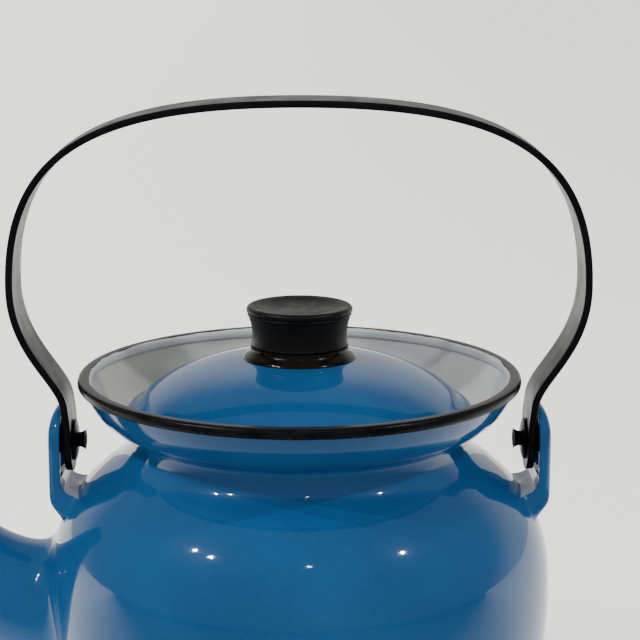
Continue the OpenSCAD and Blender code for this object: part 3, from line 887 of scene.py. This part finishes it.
# %% Where the belly is, and a fillet on it
def belly_radius(z):
    """Outer radius of the belly at a height, in millimetres."""
    for a, b in zip(pot_outer[1:], pot_outer[2:]):
        if a[1] <= z <= b[1] and b[1] <= waist[1] + 1e-6:
            return a[0] + (b[0] - a[0]) * (z - a[1]) / (b[1] - a[1])
    return WAIST_R


def outside_belly(p):
    return math.hypot(p.x, p.y) - belly_radius(p.z)


def on_belly(p, lift=0.0):
    """The belly's surface at p's height and angle, raised by lift."""
    scale = (belly_radius(p.z) + lift) / math.hypot(p.x, p.y)
    return Vector((p.x * scale, p.y * scale, p.z))


def belly_normal(p):
    slope = (belly_radius(p.z + 0.2) - belly_radius(p.z - 0.2)) / 0.4
    flat = Vector((p.x, p.y, 0)).normalized()
    return (flat - Vector((0, 0, slope))).normalized()


def run_out(line, outwards, size, steps=9):
    """The part of a line that is outside the belly; its last size millimetres bend out to lie on it."""
    k = next(i for i in range(1, len(line)) if outside_belly(line[i]) <= 0)
    a, b = line[k - 1], line[k]
    fa, fb = outside_belly(a), outside_belly(b)
    meet = a.lerp(b, fa / (fa - fb))
    kept = [p for p in line[:k] if (p - meet).length > size]
    start = meet + (kept[-1] - meet).normalized() * size
    normal = belly_normal(meet)
    away = (outwards - normal * outwards.dot(normal)).normalized()
    end = on_belly(meet + away * size, 0.02)
    for i in range(steps + 1):
        t = i / steps
        kept.append(start.lerp(meet, t).lerp(meet.lerp(end, t), t))
    kept.append(on_belly(meet + away * (size + 0.8), -0.25))
    return kept


def resampled(line, count):
    """The line's points moved along it, so that it has count points, evenly spaced."""
    lengths = [0.0]
    for a, b in zip(line, line[1:]):
        lengths.append(lengths[-1] + (b - a).length)
    out, k = [], 0
    for i in range(count):
        want = lengths[-1] * i / (count - 1)
        while k < len(line) - 2 and lengths[k + 1] < want:
            k += 1
        span = lengths[k + 1] - lengths[k]
        out.append(line[k].lerp(line[k + 1], (want - lengths[k]) / span if span else 0.0))
    return out


def loft(name, rings, material, closed_along=False):
    """A skin over rings of points in millimetres. Its ends are closed by a flat face each, or joined to each
    other.
    """
    count = len(rings[0])
    points = [p * MM for ring in rings for p in ring]
    total = len(rings)
    faces = []
    for i in range(total if closed_along else total - 1):
        a, b = i * count, (i + 1) % total * count
        faces += [(a + j, a + (j + 1) % count, b + (j + 1) % count, b + j) for j in range(count)]
    if not closed_along:
        faces += [tuple(range(count))[::-1], tuple((total - 1) * count + j for j in range(count))]
    piece = mesh_piece(name, points, faces, [material])
    if volume_of(piece.data) < 0:
        piece.data.flip_normals()
    print(f"{name}: {len(faces)} faces, {volume_of(piece.data) * 1e9:.0f} mm3")
    return piece


# %% [markdown]
# ## The spout
# A tapered tube, bent up to pour. Its size falls fast near the belly and slowly towards the mouth.

# %% Spout
ROOT_R = 24.0
TIP_R = 8.5
root, mouth = (-58, 53), (-128, 116)


def spout_frame(k):
    """Centre, direction and outer radius of the spout, k = 0 at the root and 1 at the mouth."""
    ends = [curve(root, shift(root, -49, 1.5), shift(mouth, 12.5, -32.5), mouth, 1000)[
        min(max(round(1000 * q), 0), 1000)] for q in (k - 0.01, k, k + 0.01)]
    step = Vector((ends[2][0] - ends[0][0], ends[2][1] - ends[0][1])).normalized()
    return ends[1], step, TIP_R + (ROOT_R - TIP_R) * (1 - k) ** 1.4


SIDES = 72
STATIONS = 72
frames = [spout_frame(1 - i / STATIONS) for i in range(STATIONS + 1)]


def spout_line(angle, inset):
    """A line along the spout at an angle, from the mouth down to the root."""
    line = []
    for centre, step, radius in frames:
        up, across = (radius - inset) * math.cos(angle), (radius - inset) * math.sin(angle)
        line.append(Vector((centre[0] - step.y * up, across, centre[1] + step.x * up)))
    return line


spout_lines = []
for j in range(SIDES):
    angle = tau * j / SIDES
    outer_line, inner_line = spout_line(angle, 0), spout_line(angle, WALL)
    k = next(i for i in range(len(outer_line)) if outside_belly(outer_line[i]) <= 0)
    step = frames[k][1]
    outwards = Vector((-step.y * math.cos(angle), math.sin(angle), step.x * math.cos(angle)))
    outer_line = run_out(outer_line, outwards, 7)
    stop = next(i for i in range(len(inner_line)) if outside_belly(inner_line[i]) <= -0.3)
    lip_dir = Vector((frames[0][1].x, 0, frames[0][1].y))
    middle = (outer_line[0] + inner_line[0]) / 2
    around = (outer_line[0] - inner_line[0]) / 2
    lip_points = [middle - around * math.cos(q) + lip_dir * (0.6 * math.sin(q) - 0.6)
                  for q in (math.pi * s / 6 for s in range(1, 6))]
    inside = resampled(inner_line[:stop + 1], 60)[::-1]
    spout_lines.append(inside + lip_points + resampled(outer_line[1:], 90))
spout_rings = [list(ring) for ring in zip(*spout_lines)]
spout = loft("spout_tube", spout_rings, BLUE, closed_along=True)
place(spout, "pot", "enamel_blue", "spout")

# %% [markdown]
# ## The lugs
# A lug is a cupped pressing, hollow towards the strap so that the stud has room. Its edge is rounded, and
# its foot spreads on to the shoulder.

# %% Lugs
LUG_R = 11.3
LUG_OUT = 77.0
LUG_IN = 73.2
LUG_DROP = 26      # how far the lines run down below the pivot
CUP_LOW_H = 98.6   # lowest point of the hollow
LUG_SHEET = 1.5
lug_side_out = (
    curve((LUG_IN + 1, PIVOT_H + LUG_R), (LUG_OUT - 1.4, PIVOT_H + LUG_R - 0.4), (LUG_OUT, PIVOT_H + 7),
          (LUG_OUT, PIVOT_H + 3), 16)
    + curve((LUG_OUT, PIVOT_H - 14), (LUG_OUT - 0.2, PIVOT_H - 19), (LUG_OUT - 2.6, PIVOT_H - 18.2),
            (LUG_OUT - 3.5, PIVOT_H - 21.7), 16)
    + [(LUG_OUT - 11, PIVOT_H - LUG_DROP)]
)
lug_side_in = (
    [(LUG_IN, PIVOT_H + LUG_R + 1)]
    + curve((LUG_IN, PIVOT_H - 9.8), (LUG_IN, PIVOT_H - 13), (LUG_IN - 2, PIVOT_H - 15.5),
            (LUG_IN - 8, PIVOT_H - 15.7), 16)
    + [(LUG_IN - 14, PIVOT_H - LUG_DROP)]
)
lug_half = (
    [(0.0, LUG_R)] + curve((LUG_R, 0), (LUG_R, -4), (LUG_R, -9), (LUG_R, -13), 4)
    + curve((LUG_R, -13), (LUG_R, -16), (14.5, -17), (14.5, -20), 8, 1) + [(14.5, -27)]
)


def at_height(line, z):
    """The first number of a line of (value, height) points at a height; the line runs downwards."""
    for a, b in zip(line, line[1:]):
        if b[1] <= z <= a[1] and a[1] > b[1]:
            return a[0] + (b[0] - a[0]) * (a[1] - z) / (a[1] - b[1])
    return line[0][0] if z > line[0][1] else line[-1][0]


def smooth_step(v):
    v = min(max(v, 0.0), 1.0)
    return v * v * (3 - 2 * v)


def lug_ring(z):
    """One level of the lug: across its outer face and back across its inner face."""
    d = z - PIVOT_H
    half = math.sqrt(max(LUG_R ** 2 - d * d, 0.0004)) if d > 0 else at_height(lug_half, d)
    x_out, x_in = at_height(lug_side_out, z), at_height(lug_side_in, z)
    x_edge = x_in + 0.35 * min(1.0, (x_out - x_in) / 2)
    rounding = min(2.6, 0.95 * half)
    ring = []
    for i in range(41):
        s = math.sin(math.pi / 2 * (i / 20 - 1))
        near = min(half * (1 - abs(s)) / rounding, 1.0)
        ring.append(Vector((x_edge + (x_out - x_edge) * math.sqrt(1 - (1 - near) ** 2), half * s, z)))
    for i in range(39, 0, -1):
        s = math.sin(math.pi / 2 * (i / 20 - 1))
        inset = LUG_R - math.hypot(half * s, d) if d > 0 else half * (1 - abs(s))
        depth = max(x_out - LUG_SHEET - x_in, 0) * smooth_step((min(inset, z - CUP_LOW_H) - 1.3) / 1.5)
        ring.append(Vector((x_in + depth, half * s, z)))
    return ring


lug_levels = ([PIVOT_H + LUG_R * math.cos(math.pi / 2 * i / 16) - 0.001 for i in range(17)]
              + [PIVOT_H - LUG_DROP * i / 60 for i in range(1, 61)])
lug_lines = [list(line) for line in zip(*[lug_ring(z) for z in lug_levels])]
middle = Vector((75, 0, 0))
finished = [run_out(line, Vector((line[40].x, line[40].y, 0)) - middle, 2.6) for line in lug_lines]
lug_rings = [list(ring) for ring in zip(*[resampled(line, 84) for line in finished])]
for side, where in ((-1, "spout_side"), (1, "back_side")):
    rings = [[Vector((side * p.x, p.y, p.z)) for p in ring] for ring in lug_rings]
    place(loft(f"lug_{where}_pressing", rings, BLUE), "pot", "enamel_blue", f"lug_{where}")

# %% [markdown]
# ## The infuser
# A cup of pierced sheet that hangs in the collar by its flange. One slice of its wall, with one hole a row,
# is built flat. The tree lays slices side by side, bends them round into a cone and gives them thickness.

# %% Infuser wall
CUP_R = 44.5
CUP_FLOOR_R = 40.0
CUP_FLOOR_H = 62.0
CUP_T = 0.8
HOLE_R = 1.1
SLICES = 24
ROWS = 5
cup_top = above_cone(CUP_R, RIM_LOW_D) - 1
row_pitch = (cup_top - CUP_FLOOR_H - 14) / ROWS


def wall_radius(z):
    return CUP_FLOOR_R + (CUP_R - CUP_FLOOR_R) * (z - CUP_FLOOR_H) / (cup_top - CUP_FLOOR_H)


slice_points, slice_faces = [], []
for row in range(1, ROWS + 1):
    z = CUP_FLOOR_H + row * row_pitch
    width = tau * wall_radius(z) / SLICES
    first = len(slice_points)
    for share in (0.0, 0.35, 1.0):
        for i in range(16):
            a = tau * i / 16
            ca, sa = math.cos(a), math.sin(a)
            reach = 1 / max(abs(ca), abs(sa))
            square = (ca * reach * 0.5, sa * reach * row_pitch / 2)
            hole = (ca * HOLE_R / width, sa * HOLE_R)
            at = [hole[k] + (square[k] - hole[k]) * share for k in (0, 1)]
            slice_points.append((at[0] + row / 2, 0, (z + at[1]) * MM))
    for ring in (0, 1):
        a, b = first + 16 * ring, first + 16 * (ring + 1)
        slice_faces += [(a + i, a + (i + 1) % 16, b + (i + 1) % 16, b + i) for i in range(16)]
for low_z, high_z, row in ((CUP_FLOOR_H, CUP_FLOOR_H + row_pitch / 2, 1),
                           (cup_top - 14 + row_pitch / 2, cup_top, ROWS)):
    for j in range(4):
        first = len(slice_points)
        for z in (low_z, high_z):
            slice_points += [(row / 2 - 0.5 + (j + e) / 4, 0, z * MM) for e in (0, 1)]
        slice_faces.append((first, first + 1, first + 3, first + 2))


def pierced_tree():
    tree, given = new_tree("pierced_cone", {
        "Slices": "Int", "Low Radius": "Float", "High Radius": "Float", "Low Height": "Float",
        "High Height": "Float", "Thickness": "Float", "Coat": "Material"})
    row = add(tree, "GeometryNodeMeshLine", {
        "Count": given["Slices"], "Start Location": (0, 0, 0), "Offset": (1, 0, 0)})
    slices = add(tree, "GeometryNodeInstanceOnPoints", {
        "Points": row, "Instance": given["Geometry"]})
    flat = add(tree, "GeometryNodeRealizeInstances", {"Geometry": slices})
    at = add(tree, "ShaderNodeSeparateXYZ", {0: add(tree, "GeometryNodeInputPosition")}).outputs
    turn = calc(tree, "DIVIDE", calc(tree, "MULTIPLY", at[0], tau), given["Slices"])
    radius = add(tree, "ShaderNodeMapRange", {
        "Value": at[2], "From Min": given["Low Height"], "From Max": given["High Height"],
        "To Min": given["Low Radius"], "To Max": given["High Radius"]}, clamp=False).outputs["Result"]
    bent = add(tree, "ShaderNodeCombineXYZ", {
        0: calc(tree, "MULTIPLY", radius, calc(tree, "COSINE", turn)),
        1: calc(tree, "MULTIPLY", radius, calc(tree, "SINE", turn)), 2: at[2]})
    cone = add(tree, "GeometryNodeSetPosition", {"Geometry": flat, "Position": bent})
    welded = add(tree, "GeometryNodeMergeByDistance", {"Geometry": cone, "Distance": 2e-5})
    inner = add(tree, "GeometryNodeExtrudeMesh", {
        "Mesh": welded, "Offset Scale": calc(tree, "MULTIPLY", given["Thickness"], -1.0),
        "Individual": False})
    outer = add(tree, "GeometryNodeFlipFaces", {"Mesh": welded})
    whole = add(tree, "GeometryNodeJoinGeometry")
    tree.links.new(inner.outputs["Mesh"], whole.inputs[0])
    tree.links.new(outer.outputs["Mesh"], whole.inputs[0])
    return sealed(tree, whole, given["Coat"], distance=1e-5)


source = line_object("wall_slice", slice_points, faces=slice_faces)
cup_wall = grown(source, pierced_tree(), "infuser_pierced_wall", {
    "Slices": SLICES, "Low Radius": CUP_FLOOR_R * MM, "High Radius": CUP_R * MM,
    "Low Height": CUP_FLOOR_H * MM, "High Height": cup_top * MM, "Thickness": CUP_T * MM, "Coat": WHITE})
print(f"infuser_pierced_wall: {len(cup_wall.data.polygons)} faces, {volume_of(cup_wall.data) * 1e9:.0f} mm3")
place(cup_wall, "infuser", "enamel_white", "infuser_wall")

# %% Infuser floor and flange
HOLE_RINGS = 4
gap = CUP_FLOOR_R / (HOLE_RINGS + 1)
centres = [(0, 0, 0)] + [
    (k * gap * MM * math.cos(tau * i / (6 * k)), k * gap * MM * math.sin(tau * i / (6 * k)), 0)
    for k in range(1, HOLE_RINGS + 1) for i in range(6 * k)]


def pierced_disc_tree():
    tree, given = new_tree("pierced_disc", {
        "Radius": "Float", "Thickness": "Float", "Hole Radius": "Float", "Height": "Float",
        "Coat": "Material"})
    disc = add(tree, "GeometryNodeMeshCylinder", {
        "Vertices": 192, "Radius": given["Radius"], "Depth": given["Thickness"]}, fill_type="NGON")
    rod = add(tree, "GeometryNodeMeshCylinder", {
        "Vertices": 24, "Radius": given["Hole Radius"], "Depth": 0.004}, fill_type="NGON")
    rods = add(tree, "GeometryNodeInstanceOnPoints", {
        "Points": given["Geometry"], "Instance": rod})
    cutters = add(tree, "GeometryNodeRealizeInstances", {"Geometry": rods})
    pierced = add(tree, "GeometryNodeMeshBoolean", {
        "Mesh 1": disc, "Mesh 2": cutters}, operation="DIFFERENCE")
    lift = add(tree, "ShaderNodeCombineXYZ", {2: given["Height"]})
    raised = add(tree, "GeometryNodeTransform", {
        "Geometry": pierced, "Translation": lift})
    return sealed(tree, raised, given["Coat"])


cup_floor = grown(line_object("hole_centres", centres), pierced_disc_tree(), "infuser_pierced_floor", {
    "Radius": CUP_FLOOR_R * MM, "Thickness": CUP_T * MM, "Hole Radius": HOLE_R * MM,
    "Height": (CUP_FLOOR_H - CUP_T / 2) * MM, "Coat": WHITE})
print("infuser_pierced_floor:", len(centres), "holes,", round(volume_of(cup_floor.data) * 1e9), "mm3")
place(cup_floor, "infuser", "enamel_white", "infuser_floor")

edge = (RIM_HIGH_D - RIM_LOW_D) / 2
flange_r = LID_R - 0.6 - edge
tilt = math.degrees(math.atan(cone_slope))
flange_line = (
    [(CUP_R - CUP_T, cup_top), (CUP_R, cup_top), (CUP_R + 0.5, cup_top + 0.75),
     (CUP_R + 1.6, above_cone(CUP_R + 1.6, RIM_LOW_D))]
    + arc((flange_r, above_cone(flange_r, RIM_LOW_D + edge)), edge, tilt - 90, tilt + 90, 10)
    + [(CUP_R + 1, above_cone(CUP_R + 1, RIM_HIGH_D)), (CUP_R + 0.1, cup_top + 1.75),
       (CUP_R - CUP_T, cup_top + 1)]
)
place(turned("infuser_flange", flange_line, WHITE), "infuser", "enamel_white", "infuser_rim")

# %% Sizes and finish
visual_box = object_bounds()
boxes = {"cad": cad_box, "visual": visual_box}
for name, box in boxes.items():
    print(name, "box in mm:", [[round(v / MM, 2) for v in p] for p in box])
